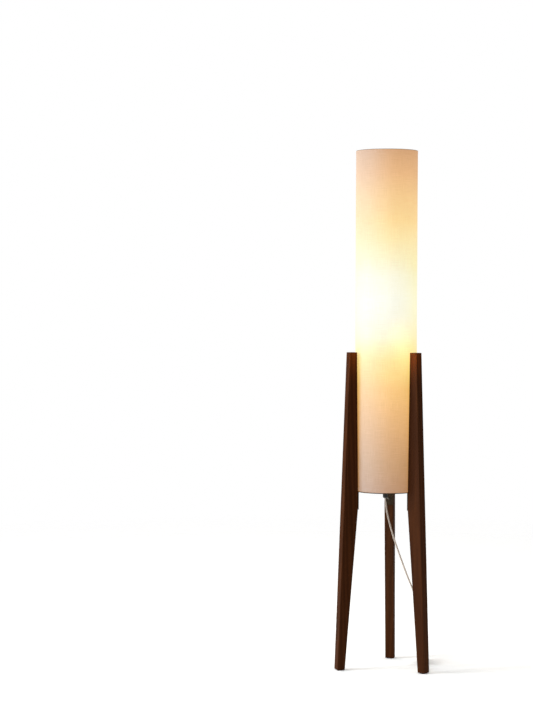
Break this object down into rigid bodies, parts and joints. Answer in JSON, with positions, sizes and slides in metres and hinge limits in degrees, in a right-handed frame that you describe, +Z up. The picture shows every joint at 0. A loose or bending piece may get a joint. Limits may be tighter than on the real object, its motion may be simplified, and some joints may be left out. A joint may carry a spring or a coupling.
{
  "type": "tripod floor lamp",
  "caption": "Floor lamp with a tall round fabric shade held upright between three tapered wooden legs, lit from inside, on a mains lead with a rocker switch.",
  "frame": {"origin": "on the floor, on the axis of the shade and of the three legs", "axes": "+Z up along the shade; one leg stands on +Y, the other two at 210 and 330 degrees; the pictured front is -Y"},
  "size_m": [0.2564, 0.2251, 1.4],
  "materials": {
    "walnut": "dark walnut, satin oil",
    "felt": "dense felt",
    "bronzed_steel": "dark bronze, satin",
    "screw_steel": "darkened",
    "stem_brass": "satin",
    "black_plastic": "moulded",
    "black_rubber": "matt",
    "porcelain": "glazed",
    "contact_brass": "bright",
    "copper_core": "bright",
    "beige_cord": "soft sheath",
    "tie_wire": "soft strap",
    "switch_plastic": "moulded",
    "pin_steel": "plain",
    "plug_plastic": "moulded",
    "blade_brass": "bright",
    "shade_cloth": "plain woven, translucent",
    "shade_backing": "translucent sheet",
    "ring_wire": "cream",
    "bulb_opal": "opal",
    "bulb_clear": "clear",
    "bulb_metal": "satin",
    "bulb_black_glass": "glazed"
  },
  "bodies": {
    "frame": {"leg_left": "walnut", "leg_right": "walnut", "leg_rear": "walnut", "foot_pad_left": "felt", "foot_pad_right": "felt", "foot_pad_rear": "felt", "shade_pan": "bronzed_steel", "pan_washer": "bronzed_steel", "lock_nuts": "bronzed_steel", "leg_screws": "screw_steel", "switch_screws": "screw_steel", "holder_terminals": "screw_steel", "stem_tube": "stem_brass", "nipple_lower": "stem_brass", "nipple_upper": "stem_brass", "gland_body": "black_plastic", "holder_cap": "black_plastic", "holder_shell": "black_plastic", "gland_seal": "black_rubber", "holder_insert": "porcelain", "holder_thread": "contact_brass", "holder_tongue": "contact_brass", "switch_contacts": "contact_brass", "holder_cores": "copper_core", "switch_cores": "copper_core", "inner_lead": "beige_cord", "cord_lead": "beige_cord", "cord_bend": "beige_cord", "cord_hank": "beige_cord", "cord_tail": "beige_cord", "hank_tie": "tie_wire", "switch_base": "switch_plastic", "switch_cover": "switch_plastic", "rocker_pin": "pin_steel", "plug_body": "plug_plastic", "plug_relief": "plug_plastic", "plug_blades": "blade_brass"},
    "shade": {"shade_fabric": "shade_cloth", "shade_liner": "shade_backing", "shade_ring_top": "ring_wire", "shade_ring_bottom": "ring_wire"},
    "bulb_tip": {"bulb_tip": "bulb_metal"},
    "bulb": {"bulb_cap": "bulb_metal", "bulb_insulator": "bulb_black_glass", "bulb_glass": "bulb_opal", "bulb_stem": "bulb_clear", "bulb_filament": "bulb_metal"},
    "rocker": {"switch_rocker": "switch_plastic", "switch_blade": "contact_brass"}
  },
  "joints": [
    {"name": "shade_lift", "type": "slide", "parent": "frame", "child": "shade", "axis": [0, 0, 1], "range_m": [0, 0.56]},
    {"name": "bulb_rise", "type": "slide", "parent": "frame", "child": "bulb_tip", "axis": [0, 0, 1], "range_m": [0, 0.0182]},
    {"name": "bulb_turn", "type": "hinge", "parent": "bulb_tip", "child": "bulb", "pos_m": [0, 0, 0.93], "axis": [0, 0, 1], "range_deg": [0, 1800]},
    {"name": "switch_rock", "type": "hinge", "parent": "frame", "child": "rocker", "pos_m": [0.10046, 0.01032, 0.091], "axis": [-0.9949, -0.1011, 0], "range_deg": [0, 16]}
  ],
  "couplings": [
    {"joint": "bulb_rise", "follows": "bulb_turn", "m_per_rad": 0.00057614}
  ]
}
